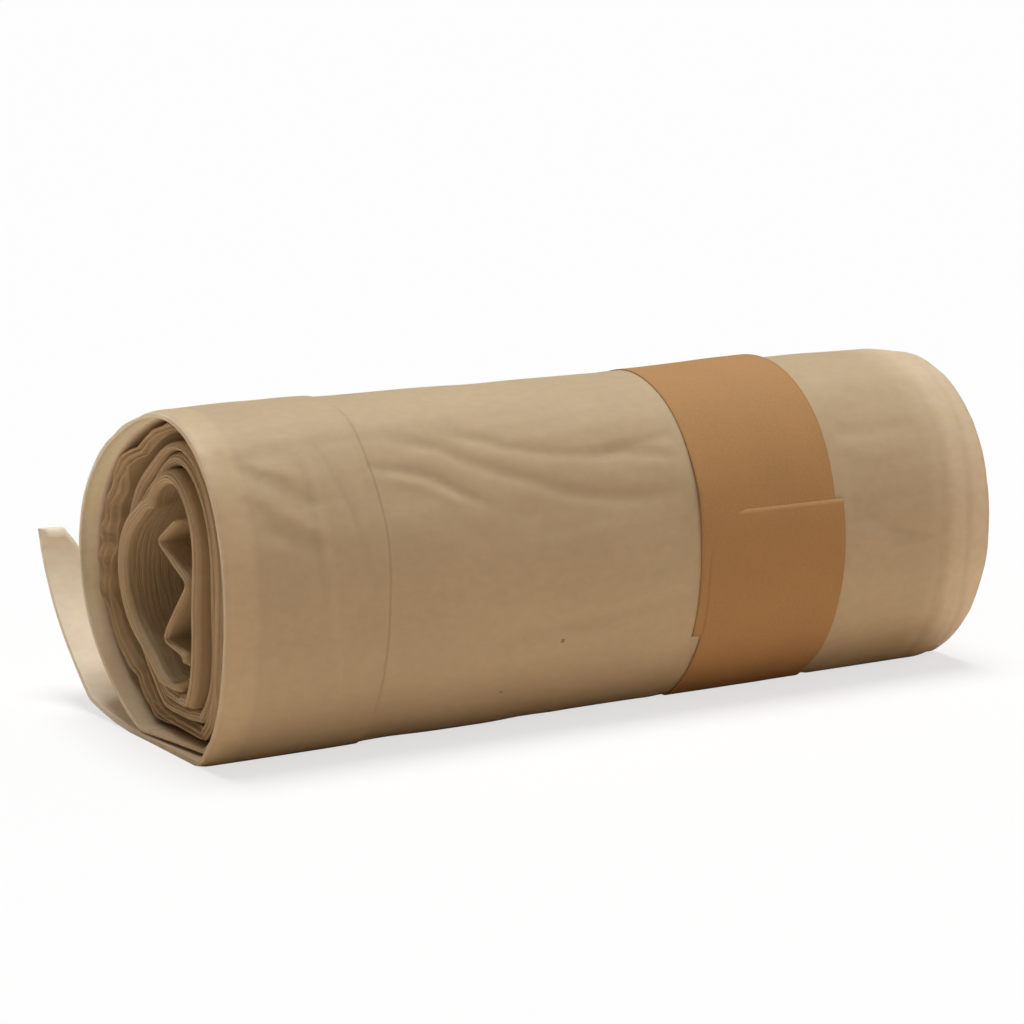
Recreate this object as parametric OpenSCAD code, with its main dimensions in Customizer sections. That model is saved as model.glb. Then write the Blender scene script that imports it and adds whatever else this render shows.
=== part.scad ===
// Roll of bin bags held by a paper band.
// The folded film is wound round an empty middle. Its inner end is tucked into a zigzag,
// its outer end stands loose behind the roll, and one strip of kraft paper goes round it
// with its two ends overlapped and a little askew.
// X runs along the roll, Z is up, and the origin is on the flat spot that the roll lies on,
// halfway along. Angles are seen from the right end: 0 is the back, 90 the top, 180 the front.

/* [Roll] */
// Length of the roll
roll_len = 160; // [130:1:240]
// Width of the empty middle, front to back
hollow_w = 24; // [16:0.1:34]
// Height of the empty middle
hollow_h = 31.9; // [18:0.1:36]
// Whole turns of film from the inner end to the loose end
turns = 5; // [3:1:6]
// Thickness of the folded film in the inner turns
web_t = 2.4; // [1.5:0.05:3.5]
// Thickness of the gathered turn under the outermost one
gather_t = 3.5; // [2:0.05:4]
// Thickness of the outermost turn, one bag folded flat
wrap_t = 1.3; // [0.8:0.05:2]
// Air between one turn and the next
turn_gap = 0.45; // [0.25:0.05:0.9]
// Extra slack under the two outermost turns
slack = 1.8; // [0:0.1:2.5]
// How far the weight of the roll flattens its underside
flat_depth = 2; // [1:0.1:4]
// Share by which the turns lie looser at the right end than at the left
swell = 0.012; // [0:0.002:0.1]
// Share by which the soft roll has settled into a rounded triangle at its left end
settle_left = 0.058; // [0:0.002:0.08]
// The same share at its right end
settle_right = 0.022; // [0:0.002:0.08]
// How much stronger the triangle is at the empty middle than on the outside
settle_core = 2.2; // [1:0.1:2.5]
// Degrees by which the triangle's corners lie above the back, the top front and the bottom front
settle_turn = 3.5; // [-10:0.5:10]

/* [Ends of the roll] */
// How far the outermost turn stands out past the inner turns at the left end
lip_out = 3.3; // [1.5:0.1:7]
// How far the innermost turn stands out past the next one at the left end
core_out = 1.1; // [0:0.1:1.4]
// How far the inner turns lie inside the outermost one at the right end
right_in = 1.6; // [0:0.1:4]
// Depth of the pleats in the turn under the outermost one
pleat_depth = 1.5; // [0:0.1:1.6]
// How far the pleats run in from the left end
pleat_len = 10; // [5:0.5:14]
// Share of the turns' thickness that the shoulder at the right end takes away
shoulder_in = 0.07; // [0:0.01:0.25]
// Length of that shoulder
shoulder_len = 10; // [4:0.5:12]
// Distance of the seam in the outermost turn from the left end
seam_from_left = 28.5; // [22:0.5:50]
// Height of the seam's step
seam_step = 0.25; // [0:0.05:0.4]

/* [Inner end] */
// Thickness of the film where its inner end is tucked in
tuck_t = 1.2; // [0.6:0.1:1.6]
// Radius of the folds in the tucked end
tuck_fold = 1.9; // [1:0.1:2.4]

/* [Loose end] */
// Thickness of the loose end
tail_t = 0.8; // [0.5:0.05:1.2]
// Degrees that the loose end runs on after it leaves the roll
tail_angle = 78; // [40:1:84]
// How far its free corner stands out from the roll
tail_out = 15.5; // [0:0.5:18]
// Degrees by which the pulled corner runs on past the rest of the edge
corner_angle = 8; // [0:1:14]
// Width of the pulled corner
corner_w = 4; // [3:0.5:8]
// How far the crease at the foot of the loose end stands out
foot_out = 2.4; // [0:0.1:3]

/* [Paper band] */
// Width of the paper strip
band_w = 30; // [15:0.1:40]
// Distance of the strip's middle from the roll's middle, towards the right end
band_at = 27.5; // [0:0.1:35]
// Thickness of the paper
band_t = 0.35; // [0.2:0.05:0.6]
// Clearance between the paper and the film
band_fit = 0.15; // [0.1:0.05:0.4]
// Degrees that the strip's ends overlap on the front
band_overlap = 42; // [15:1:80]
// How far the outer end lies to the right of the inner one
band_skew = 2; // [-2.6:0.1:3]
// How far the strip's right edge stands off the film on top
band_lift = 0.7; // [0:0.1:1.5]

/* [Hidden] */

film_colour = [0.78, 0.69, 0.56];
paper_colour = [0.66, 0.47, 0.29];

// Winding is measured in degrees from where the first turn leaves the tuck
first_angle = 245;
station_step = 10;
tail_steps = 9;
leave_angle = 285;
thickening = 90;
gathering = 250;
tail_thinning = 60;
leave_at = 360 * turns + leave_angle - first_angle;
edge_at = leave_at + tail_angle - corner_angle;
corner_at = leave_at + tail_angle;
rest_at = 360 * turns + 270 - first_angle;

// The outermost turn is thinner, and the turn before it is the pleated one
wrap_run = 440;
pleated_run = 400;
detailed_run = 390;
wrap_at = edge_at - wrap_run;
thinning = 90;
slack_at = wrap_at - pleated_run;
slack_run = 120;
full_width_at = corner_at - detailed_run;

left_end = -roll_len / 2;
right_end = roll_len / 2;
seam_x = left_end + seam_from_left;
seam_run = 0.4;
seam_back = 10;
seam_at = full_width_at + seam_back;
seam_rise = 30;
corner_fall = 4;

band_left = band_at - band_w / 2 + min(band_skew, 0);
band_right = band_at + band_w / 2 + max(band_skew, 0);
band_margin = 0.5;
waist_run = 2;

// Smooth step from 0 at low to 1 at high
function rise(v, low, high) =
    let (u = min(max((v - low) / (high - low), 0), 1))
    u * u * (3 - 2 * u);

// Thickness of the film at winding w
function film_t(w) =
    tuck_t
    + (web_t - tuck_t) * rise(w, 0, thickening)
    + (gather_t - web_t) * rise(w, slack_at - gathering, slack_at + thickening)
    + (wrap_t - gather_t) * rise(w, wrap_at - thinning, wrap_at)
    + (tail_t - wrap_t) * rise(w, leave_at - tail_thinning, corner_at);

// Each turn lies on the one before it: distance of its inner face from the empty middle
function wound(w) =
    w < 360
        ? (film_t(0) + (film_t(360) - film_t(0)) * rise(w, 0, 360) + turn_gap) * max(w, 0) / 360
        : wound(w - 360) + film_t(w - 360) + turn_gap;
function inner_q(w) = wound(w) + slack * rise(w, slack_at, slack_at + slack_run);
function outer_q(w) = inner_q(w) + film_t(w);

// A flattened underside, deepest under the outermost turn
rest_q = outer_q(rest_at);
press_power = 1.5;

// The gathered turn is looser at the sides than above and below, where it is packed
packed_from = 7;
packed_to = 14.3;
packed_share = 0.62;
function packed(q) = q - (1 - packed_share) * min(max(q - packed_from, 0), packed_to - packed_from);
rest_h = hollow_h / 2 + packed(rest_q) - flat_depth;
function floor_of(q) =
    rest_h - hollow_h / 2 - packed(q) + flat_depth * pow(max(q, 0) / rest_q, press_power);

// Winding at the bottom of the pass that w belongs to
function pass_bottom(w) = 360 * round((first_angle + w - 270) / 360) + 270 - first_angle;

// The triangle that the roll has settled into. All turns follow it, so they keep their order
function settled(q, angle, x) =
    let (along = (x - left_end) / roll_len,
         inwards = 1 - min(max(q / rest_q, 0), 1),
         share = settle_left + (settle_right - settle_left) * along)
    1 + share * (1 + (settle_core - 1) * inwards) * cos(3 * (angle - settle_turn));

// Point of the section at distance q outside the empty middle
function section_point(q, angle, x, low) =
    let (k = settled(q, angle, x))
    [(hollow_w / 2 + q) * cos(angle) * k,
     max(rest_h + (hollow_h / 2 + packed(q)) * sin(angle) * k, low)];

// How far the loose end stands off at this place
flare_along = 1.4;
foot_at = 0.42;
foot_spread = 0.3;
function flare(w, x) =
    let (along = min(max((x - left_end) / (band_left - left_end), 0), 1),
         round = max(w - leave_at, 0) / tail_angle,
         foot = pow(max(1 - abs(round - foot_at) / foot_spread, 0), press_power))
    (tail_out * round + foot_out * foot) * pow(1 - along, flare_along);

// Pleats fold to and fro inside the thickness of their turn, so they meet nothing
pleat_pitch = 32;
pleat_wander = 40;
pleat_fade = 40;
function zigzag(v) = abs((v % 1 + 1) % 1 * 2 - 1);
function pleat(w, x) =
    let (fold = zigzag((w + pleat_wander * sin(3 * w)) / pleat_pitch),
         near_end = 1 - rise(x, left_end + lip_out, left_end + lip_out + pleat_len),
         begun = rise(w, slack_at, slack_at + pleat_fade),
         ended = rise(w, wrap_at - thinning, wrap_at - thinning + pleat_fade))
    [fold, pleat_depth * near_end * begun * (1 - ended)];

// The turns swell towards the right end and are drawn in at its shoulder, all by one share,
// so none meets the next
function girth(x) =
    1 + swell * x / roll_len
    - shoulder_in * pow(max((x - right_end + shoulder_len) / shoulder_len, 0), 2);

// The film gives way under the band, so both lie on the same floor
function waist(x) =
    x > band_left - waist_run && x < band_right + waist_run ? band_t + band_fit : 0;

// Winding of a station at x: the edge of the loose end is short of its pulled corner
function winding_at(w, x) =
    let (cut = corner_angle * min(max((x - left_end - corner_w) / corner_fall, 0), 1))
    w < leave_at ? w : w - cut * (w - leave_at) / tail_angle;

// Point on the film's inner (side 0) or outer (side 1) face, or between
function film_point(station, x, side) =
    let (w = winding_at(station, x),
         folds = pleat(w, x),
         q_in = inner_q(w) + folds[1] * folds[0],
         q_out = outer_q(w) - folds[1] * (1 - folds[0]),
         on_wrap = rise(w, seam_at, seam_at + seam_rise),
         seam = side * seam_step * on_wrap * (x < seam_x + seam_run / 2 ? 1 : 0),
         q = (q_in + (q_out - q_in) * side) * girth(x) + seam + flare(w, x),
         bottom = pass_bottom(w),
         q_bottom = inner_q(bottom) + (outer_q(bottom) - inner_q(bottom)) * side,
         pressed = w > corner_at - 360 ? side * waist(x) : 0,
         yz = section_point(q, first_angle + w, x, floor_of(q_bottom) + pressed))
    [x, yz[0], yz[1]];

// Left and right edge of the film at winding w, with the inner turns drawn in. The web was
// wound by hand, so its edges wander a little
core_from = 200;
core_to = 420;
out_from = wrap_at - 60;
out_to = wrap_at + 20;
wander_left = 0.3;
wander_right = 0.4;
function inner_share(w) = 1 - rise(w, out_from, out_to);
function left_x(w) =
    let (core = core_out * (1 - rise(w, core_from, core_to)))
    left_end + inner_share(w) * (lip_out - core + wander_left * sin(2 * w));
function right_x(w) =
    right_end - inner_share(w) * (right_in + wander_right * sin(1.7 * w));

// Places along X at which the film's faces are drawn. The turns inside the outermost one
// are straight between their ends, so they need only some of them
nose_len = 0.4;
function columns(w) =
    let (l = left_x(w), r = right_x(w), nose = nose_len * film_t(w))
    [l, l + nose, left_end + corner_w, left_end + corner_w + corner_fall, l + pleat_len + 1,
     seam_x, seam_x + seam_run,
     band_left - band_margin - waist_run, band_left - band_margin,
     band_right + band_margin, band_right + band_margin + waist_run,
     right_end - shoulder_len, right_end - shoulder_len / 2, r - nose, r];
column_count = len(columns(0));
straight_columns = [0, 1, 4, 6, 8, 12, 13, 14];
all_columns = [for (k = [0:column_count - 1]) k];
nose_share = 0.25;

// Closed ring of points round the film at one station, outer face first
function film_ring(w, kept) =
    let (c = columns(w), last = column_count - 1)
    concat(
        [for (k = kept) film_point(w, c[k], k == 0 || k == last ? 1 - nose_share : 1)],
        [for (n = [len(kept) - 1:-1:0]) let (k = kept[n])
            film_point(w, c[k], k == 0 || k == last ? nose_share : 0)]);

// Folds of the tucked inner end, in shares of the empty middle's width and height
tuck_folds = [
    for (share = [[-0.33, 0.4], [-0.05, 0.26], [-0.44, 0.08], [-0.11, -0.29], [-0.42, -0.31]])
    [share[0] * hollow_w, rest_h + share[1] * hollow_h]];
tuck_root = section_point(film_t(0) / 2, first_angle, 0, 0);
tuck_points = concat(tuck_folds, [tuck_root]);
function towards(a, b, d) = a + (b - a) * d / norm(b - a);
tuck_path = concat(
    [tuck_points[0]],
    [for (k = [1:len(tuck_folds) - 1]) for (d = [-1, 1])
        towards(tuck_points[k], tuck_points[k + d], tuck_fold)],
    [tuck_root]);

// Ring round the tucked end at one of its points, square to its path
function tuck_side(k, side) =
    let (before = tuck_path[max(k - 1, 0)],
         after = tuck_path[k + 1],
         way = (after - before) / norm(after - before))
    tuck_path[k] + [way[1], -way[0]] * side * tuck_t / 2;
function tuck_ring(k, kept) =
    let (c = columns(0), last = len(kept) - 1, nose = 1 - 2 * nose_share)
    [for (n = [0:2 * last + 1])
        let (place = n > last ? 2 * last + 1 - n : n,
             share = place == 0 || place == last ? nose : 1,
             p = tuck_side(k, n > last ? -share : share))
        [c[kept[place]], p[0], p[1]]];

// Faces between rings of one size, the first ring's points starting at first
function side_faces(first, rings, ring) =
    [for (i = [0:rings - 2]) for (k = [0:ring - 1]) for (half = [0, 1])
        let (a = first + i * ring + k, b = first + i * ring + (k + 1) % ring)
        half == 0 ? [a, b, b + ring] : [a, b + ring, a + ring]];

// Faces from a ring that has some of the columns to the next one, which has them all
function widening_faces(first, kept, across) =
    let (ring = 2 * len(kept),
         places = concat(kept, [for (n = [len(kept) - 1:-1:0]) 2 * across - 1 - kept[n]], [2 * across]),
         wide = first + ring)
    [for (k = [0:ring - 1])
        let (a = first + k, b = first + (k + 1) % ring)
        each concat(
            [[a, b, wide + places[k + 1] % (2 * across)]],
            [for (p = [places[k]:places[k + 1] - 1]) [a, wide + (p + 1) % (2 * across), wide + p]])];

// Faces that close the strip at its first or its last ring
function start_faces(first, across) =
    [for (k = [0:across - 2]) for (half = [0, 1])
        let (a = first + k, b = first + 2 * across - 1 - k)
        half == 0 ? [a, b, b - 1] : [a, b - 1, a + 1]];
function end_faces(first, across) = [for (face = start_faces(first, across)) [face[0], face[2], face[1]]];

module film_roll() {
    inner_stations = [for (w = [0:station_step:full_width_at]) w];
    outer_stations = [
        for (w = [inner_stations[len(inner_stations) - 1] + station_step:station_step:leave_at - 1]) w,
        for (n = [0:tail_steps]) leave_at + n * tail_angle / tail_steps];
    inner_rings = concat(
        [for (k = [0:len(tuck_path) - 2]) tuck_ring(k, straight_columns)],
        [for (w = inner_stations) film_ring(w, straight_columns)]);
    outer_rings = [for (w = outer_stations) film_ring(w, all_columns)];
    small = 2 * len(straight_columns);
    wide = 2 * column_count;
    widening = (len(inner_rings) - 1) * small;
    outer_first = widening + small;
    color(film_colour)
        polyhedron(
            [for (ring = concat(inner_rings, outer_rings)) each ring],
            concat(
                start_faces(0, len(straight_columns)),
                side_faces(0, len(inner_rings), small),
                widening_faces(widening, straight_columns, column_count),
                side_faces(outer_first, len(outer_rings), wide),
                end_faces(outer_first + (len(outer_rings) - 1) * wide, column_count)));
}

// Outer end and inner end of the paper strip, both on the front
band_outer_angle = 165;
band_inner_angle = band_outer_angle + band_overlap;
band_travel = 360 + band_overlap;
band_step = 2.5;
band_steps = round(band_travel / band_step);
bridge = 30;
lap_gap = 0.1;
lap_from = 330;
lap_to = 358;

// Distance of the film's outermost face at an angle, with the loose end's step bridged
function film_outside(angle) =
    let (past = ((angle - first_angle - edge_at) % 360 + 360) % 360,
         step = outer_q(edge_at) - outer_q(edge_at - 360))
    outer_q(edge_at - 360 + past) + step * (1 - rise(past, 0, bridge));

// The strip starts at its inner end and goes over the top, down the back and up the front
function band_ring(travel) =
    let (angle = band_inner_angle - travel,
         lap = (band_t + lap_gap) * rise(travel, lap_from, lap_to),
         q = film_outside(angle) + band_fit + lap,
         x = band_at - band_w / 2 + band_skew * travel / band_travel,
         lift = band_lift * pow(max(sin(angle), 0), 2))
    [for (corner = [[1, 1], [0, 1], [0, 0], [1, 0]])
        let (place = x + band_w * corner[0],
             out = q * girth(place) + lift * corner[0] + band_t * corner[1],
             yz = section_point(out, angle, place, band_t * (1 - corner[1])))
        [place, yz[0], yz[1]]];

module paper_band() {
    rings = [for (n = [0:band_steps]) band_ring(band_travel * n / band_steps)];
    color(paper_colour)
        polyhedron(
            [for (ring = rings) each ring],
            concat(start_faces(0, 2), side_faces(0, len(rings), 4), end_faces(4 * band_steps, 2)));
}

film_roll();
paper_band();
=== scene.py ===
# %% [markdown]
# # A roll of bin bags
# The real thing is one long web of very thin film, folded flat and wound up by hand round an
# empty middle. A strip of kraft paper holds it. This lesson winds the web in Blender round the
# frame that the CAD gives, then adds the strip, the finishes, the light and the camera.

# %% The frame
import math

import bmesh
import bpy
import numpy as np
from mathutils import Matrix, Vector


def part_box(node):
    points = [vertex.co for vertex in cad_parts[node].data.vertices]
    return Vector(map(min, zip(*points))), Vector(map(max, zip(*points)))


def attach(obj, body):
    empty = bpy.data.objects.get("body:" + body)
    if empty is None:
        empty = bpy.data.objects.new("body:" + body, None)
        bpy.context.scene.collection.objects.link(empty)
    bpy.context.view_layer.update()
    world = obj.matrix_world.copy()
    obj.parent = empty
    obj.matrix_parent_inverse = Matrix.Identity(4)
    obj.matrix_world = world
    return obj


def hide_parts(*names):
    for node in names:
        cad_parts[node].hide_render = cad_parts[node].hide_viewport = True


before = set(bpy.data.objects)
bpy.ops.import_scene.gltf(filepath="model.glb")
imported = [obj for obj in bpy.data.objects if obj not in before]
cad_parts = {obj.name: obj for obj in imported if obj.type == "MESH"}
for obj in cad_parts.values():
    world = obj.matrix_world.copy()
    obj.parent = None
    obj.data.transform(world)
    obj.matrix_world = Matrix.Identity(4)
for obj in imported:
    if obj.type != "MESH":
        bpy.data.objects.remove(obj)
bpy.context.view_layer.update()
film_low, film_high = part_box("film_roll")
strip_low, strip_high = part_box("paper_band")
MM = 0.001

# %% [markdown]
# ## How a web winds up
# Each turn lies on the one before it, so a place on the web is known by its winding, the angle
# that has been wound since the inner end. Angles are in degrees: 0 is the back of the roll, 90
# the top, 180 the front and 270 the bottom. Lengths are in millimetres, and become metres when
# a piece is made. One rule for the thickness and one for the distance from the middle could be
# a spiral curve with a bevel instead, but a curve can't thin out, flatten or fold.

# %% Sizes of the roll
ROLL_LEN = (film_high.x - film_low.x) / MM
LEFT = film_low.x / MM
RIGHT = film_high.x / MM
HOLLOW_W, HOLLOW_H = 24.0, 31.9
TURNS = 5
TUCK_T, WEB_T, GATHER_T, WRAP_T, TAIL_T = 1.2, 2.4, 3.5, 1.3, 0.8
TURN_GAP, SLACK, FLAT = 0.45, 1.8, 2.0
FIRST_ANGLE, LEAVE_ANGLE, TAIL_ANGLE = 245, 285, 78
CORNER_ANGLE, CORNER_W, CORNER_FALL = 8, 4.9, 3.4
LIP_OUT, CORE_OUT, RIGHT_IN = 3.3, 1.1, 1.6
SEAM_STEP = 0.25

LEAVE_AT = 360 * TURNS + LEAVE_ANGLE - FIRST_ANGLE
CORNER_AT = LEAVE_AT + TAIL_ANGLE
EDGE_AT = CORNER_AT - CORNER_ANGLE
REST_AT = 360 * TURNS + 270 - FIRST_ANGLE
WRAP_AT = EDGE_AT - 440
SLACK_AT = WRAP_AT - 400
print("winding of the wrap, the foot of the loose end and its corner", WRAP_AT, LEAVE_AT, CORNER_AT)


# %% Thickness and distance along the web
def rise(v, low, high):
    """Smooth step from 0 at low to 1 at high."""
    u = np.clip((np.asarray(v, float) - low) / (high - low), 0, 1)
    return u * u * (3 - 2 * u)


def film_t(w):
    """Thickness of the folded film at winding w."""
    return (TUCK_T + (WEB_T - TUCK_T) * rise(w, 0, 90)
            + (GATHER_T - WEB_T) * rise(w, SLACK_AT - 250, SLACK_AT + 90)
            + (WRAP_T - GATHER_T) * rise(w, WRAP_AT - 90, WRAP_AT)
            + (TAIL_T - WRAP_T) * rise(w, LEAVE_AT - 60, CORNER_AT))


def inner_q(w):
    """Distance of the web's inner face from the empty middle at winding w."""
    w = np.asarray(w, float)
    below = np.maximum(np.floor(w / 360), 0)
    start = w - 360 * below
    first = (film_t(0) + (film_t(360) - film_t(0)) * rise(start, 0, 360) + TURN_GAP)
    q = first * np.maximum(start, 0) / 360
    for turn in range(TURNS + 1):
        q = q + np.where(turn < below, film_t(start + 360 * turn) + TURN_GAP, 0)
    return q + SLACK * rise(w, SLACK_AT, SLACK_AT + 120)


PACKED_FROM, PACKED_TO, PACKED_SHARE = 7, 14.3, 0.62


def packed(q):
    """The gathered turn is looser at the sides than above and below, where it is packed."""
    return q - (1 - PACKED_SHARE) * np.clip(q - PACKED_FROM, 0, PACKED_TO - PACKED_FROM)


REST_Q = float(inner_q(REST_AT) + film_t(REST_AT))
REST_H = HOLLOW_H / 2 + float(packed(REST_Q)) - FLAT
print("height of the axis over the table", round(REST_H, 2), "mm")

# %% [markdown]
# ## The shape it has settled into
# A soft roll is never round. It has sagged into a rounded triangle, more so at its left end,
# with a flat underside. Each turn follows the one outside it, so the whole section is bent by
# one rule that grows with the distance from the middle. A slow ripple on top of it makes the
# turns look wound by hand. Sums of a few waves with seeded directions give the ripple, which
# is smooth, cheap and the same on every run.


# %% A smooth ripple
def ripple(a, b, size, seed, waves=14):
    """A smooth bumpy value from about -1 to 1 over two coordinates, with bumps about that size."""
    dice = np.random.RandomState(seed)
    total = 0
    for _ in range(waves):
        way = dice.uniform(0, 2 * math.pi)
        pitch = 2 * math.pi / size * dice.uniform(0.45, 1.1)
        shift = dice.uniform(0, 2 * math.pi)
        total = total + np.sin((a * math.cos(way) + b * math.sin(way)) * pitch + shift)
    return total / math.sqrt(waves)


print("a ripple at one place", round(float(ripple(0, 0, 13, 51)), 3))


# %% The section
SETTLE_LEFT, SETTLE_RIGHT, SETTLE_CORE, SETTLE_TURN = 0.058, 0.022, 2.2, 3.5
SWELL, SHOULDER_IN, SHOULDER_LEN = 0.012, 0.07, 10
ROUND_MM = 29.0


def along(x):
    """0 at the left end, 1 at the right end."""
    return (x - LEFT) / ROLL_LEN


def floor_of(q):
    """Height of the flattened underside at distance q."""
    return REST_H - HOLLOW_H / 2 - packed(q) + FLAT * (np.maximum(q, 0) / REST_Q) ** 1.5


def section(q, angle, x, low):
    """Y and Z of the point at distance q outside the empty middle."""
    share = SETTLE_LEFT + (SETTLE_RIGHT - SETTLE_LEFT) * along(x)
    inwards = 1 - np.clip(q / REST_Q, 0, 1)
    share = share * (1 + (SETTLE_CORE - 1) * inwards)
    k = 1 + share * np.cos(np.radians(3 * (angle - SETTLE_TURN)))
    a = np.radians(angle)
    y = (HOLLOW_W / 2 + q) * np.cos(a) * k
    z = REST_H + (HOLLOW_H / 2 + packed(q)) * np.sin(a) * k
    return y, np.maximum(z, low)


def girth(x):
    """The turns swell towards the right end and are drawn in at its shoulder."""
    into = np.maximum((x - RIGHT + SHOULDER_LEN) / SHOULDER_LEN, 0)
    return 1 + SWELL * x / ROLL_LEN - SHOULDER_IN * into ** 2


print("front of the left end at y", round(float(section(REST_Q, 180, LEFT, 0)[0]), 1), "mm")


# %% The loose end
BAND_W, BAND_T, BAND_FIT, BAND_SKEW = 30.0, 0.35, 0.15, 2.0
BAND_LEFT = strip_low.x / MM
BAND_RIGHT = strip_high.x / MM
TAIL_OUT, FOOT_OUT, FOOT_AT, FOOT_SPREAD, FLARE_ALONG = 15.5, 2.4, 0.42, 0.3, 1.4


def flare(w, x):
    """How far the loose end stands off the roll."""
    across = np.clip((x - LEFT) / (BAND_LEFT - LEFT), 0, 1)
    past = np.maximum(w - LEAVE_AT, 0) / TAIL_ANGLE
    foot = np.maximum(1 - abs(past - FOOT_AT) / FOOT_SPREAD, 0) ** 1.5
    return (TAIL_OUT * past + FOOT_OUT * foot) * (1 - across) ** FLARE_ALONG


def winding_at(w, x):
    """The edge of the loose end is short of its pulled corner."""
    cut = CORNER_ANGLE * np.clip((x - LEFT - CORNER_W) / CORNER_FALL, 0, 1)
    return np.where(w < LEAVE_AT, w, w - cut * (w - LEAVE_AT) / TAIL_ANGLE)


print("the corner stands off by", round(float(flare(CORNER_AT, LEFT)), 1), "mm")


# %% [markdown]
# ## Creases in the outermost turn
# The outermost bag was pulled tight by hand, which left long shallow creases that run from the
# top left down to the strip, faint lines beside the heat seam, and rings near the right end
# where the folded edges lie. A cloth simulation would give some creases, but not these, so
# each one is a soft groove or ridge along a line of a few points. A point is a distance from
# the left end in millimetres and an angle. The height is the one in the middle of the crease.

# %% The creases
CREASES = [
    # points, height, width, painted shade (negative) and painted highlight (positive) along the crease
    ([(6, 120), (32, 120), (58, 126), (92, 132)], 0.42, 5.0, 0.0),
    ([(10, 144), (32, 144), (58, 156), (92, 164)], -0.26, 5.0, 0.0),
    ([(31, 129), (35.5, 130), (40, 132.5), (44.5, 135), (48, 139.5), (52.5, 143), (57, 146), (61.5, 149),
      (67, 153), (73, 155.5), (79, 156.5), (85, 157), (93, 156.5)], -0.38, 1.35, -0.03),
    ([(43, 129), (47, 130), (52.5, 133), (57.5, 136.5), (63, 139), (69, 141), (75, 142), (80.5, 142),
      (86.5, 143.5), (94, 146)], -0.34, 1.2, -0.03),
    ([(74, 141.5), (77.5, 140.5), (83, 139.5), (88.5, 138), (94, 137)], -0.26, 1.1, -0.03),
    ([(28, 138), (29.5, 138), (33.5, 139.5), (37, 141), (41, 143.5), (44, 147), (47.5, 151), (52, 155)],
     -0.28, 1.0, -0.04),
    ([(31.5, 144.5), (34.5, 143.5), (38.5, 146), (42.5, 149.5), (46.5, 154)], 0.16, 0.9, 0.03),
    ([(43.5, 162), (46.5, 163), (50, 166), (53, 171)], -0.10, 1.2, -0.01),
    ([(4.5, 133), (6, 135), (10.5, 139.5), (14, 144.5), (17.5, 147.5), (20, 149.5)], -0.24, 1.4, -0.02),
    ([(4.5, 141), (6, 143), (9, 146), (12.5, 151), (16.5, 155.5), (19.5, 158.5)], 0.22, 1.3, 0.01),
    ([(6.5, 152.5), (10.5, 156.5), (14.5, 160.5), (19.5, 162.5)], -0.26, 1.6, -0.04),
    ([(8.5, 135.5), (12.5, 137.5), (16.5, 139.5)], 0.16, 1.2, 0.01),
    ([(19.4, 131), (19.2, 135.5), (18.8, 148.5), (18.4, 160), (19.2, 173), (20, 185), (21.2, 198),
      (22, 213)], 0.22, 0.8, 0.03),
    ([(17.8, 131), (17.3, 148.5), (17, 160), (17.8, 173), (18.8, 186)], -0.16, 0.8, -0.03),
    ([(21, 127), (21.6, 131), (22.8, 141), (24.4, 151), (25.6, 162), (27.2, 175), (28, 188)],
     -0.20, 0.7, -0.03),
    ([(27.2, 141), (26.8, 145), (25.6, 159), (26.4, 170), (27, 180)], 0.16, 0.7, 0.02),
    ([(49, 201), (54.5, 199.5), (66, 195.5), (77.5, 194), (87, 191.5), (93, 190)], -0.16, 1.5, -0.01),
    ([(122, 166.5), (125, 167), (129.5, 169), (135, 167.5), (141, 168.5), (146, 169.5)], -0.16, 1.8, -0.02),
    ([(122, 172), (125, 172.5), (130.5, 173), (136, 177), (142.5, 179.5), (147, 181)], -0.26, 1.6, -0.03),
    ([(123, 140.5), (129, 142), (134.5, 143.5), (141, 143), (146.5, 142)], -0.22, 1.8, -0.02),
    ([(123, 150), (135, 152.5), (145, 151)], 0.14, 2.2, 0.01),
    ([(150.5, 60), (149.6, 133), (149, 149), (148, 167), (147.3, 185), (147.6, 203), (148.2, 216),
      (150, 260)], -0.26, 1.1, -0.05),
    ([(153, 60), (152, 143), (151.2, 155), (150.4, 169), (150, 187), (150.4, 200), (152.5, 260)],
     0.16, 1.1, 0.05),
    ([(157.4, 60), (156, 135), (154.6, 152), (153.8, 170), (153.6, 188), (154, 200), (155.2, 210),
      (157, 260)], -0.30, 0.9, -0.09),
]


def line_height(x, arc, points, height, width):
    """Height that one crease adds at these places, which are in millimetres both ways."""
    px = np.array([p[0] for p in points], float)
    pa = np.radians(np.array([p[1] for p in points], float)) * ROUND_MM
    best = np.full(np.shape(x), 1e9)
    where = np.zeros(np.shape(x))
    whole = len(points) - 1
    for k in range(whole):
        dx, da = px[k + 1] - px[k], pa[k + 1] - pa[k]
        t = np.clip(((x - px[k]) * dx + (arc - pa[k]) * da) / (dx * dx + da * da), 0, 1)
        gap = np.hypot(x - px[k] - t * dx, arc - pa[k] - t * da)
        where = np.where(gap < best, (k + t) / whole, where)
        best = np.minimum(gap, best)
    ends = rise(where, 0, 0.22) * (1 - rise(where, 0.85, 1))
    return height * np.exp(-((best / width) ** 2)) * (0.15 + 0.85 * ends)


def creases(x_from_left, angle):
    """Height of all the creases on the outermost turn, in millimetres, and their painted shade and
    highlights.
    """
    arc = np.radians(angle) * ROUND_MM
    total = np.zeros(np.shape(x_from_left))
    painted_light_and_tone = np.zeros(np.shape(x_from_left))
    for points, height, width, painted_crease_light in CREASES:
        shape = line_height(x_from_left, arc, points, 1, width)
        total = total + height * shape
        painted_light_and_tone = painted_light_and_tone + painted_crease_light * shape
    drape = 0.13 * ripple(x_from_left / 2.6, arc, 9, 5) + 0.03 * ripple(x_from_left / 3, arc, 3.2, 6)
    return total + drape, painted_light_and_tone


print(len(CREASES), "creases")

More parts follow.
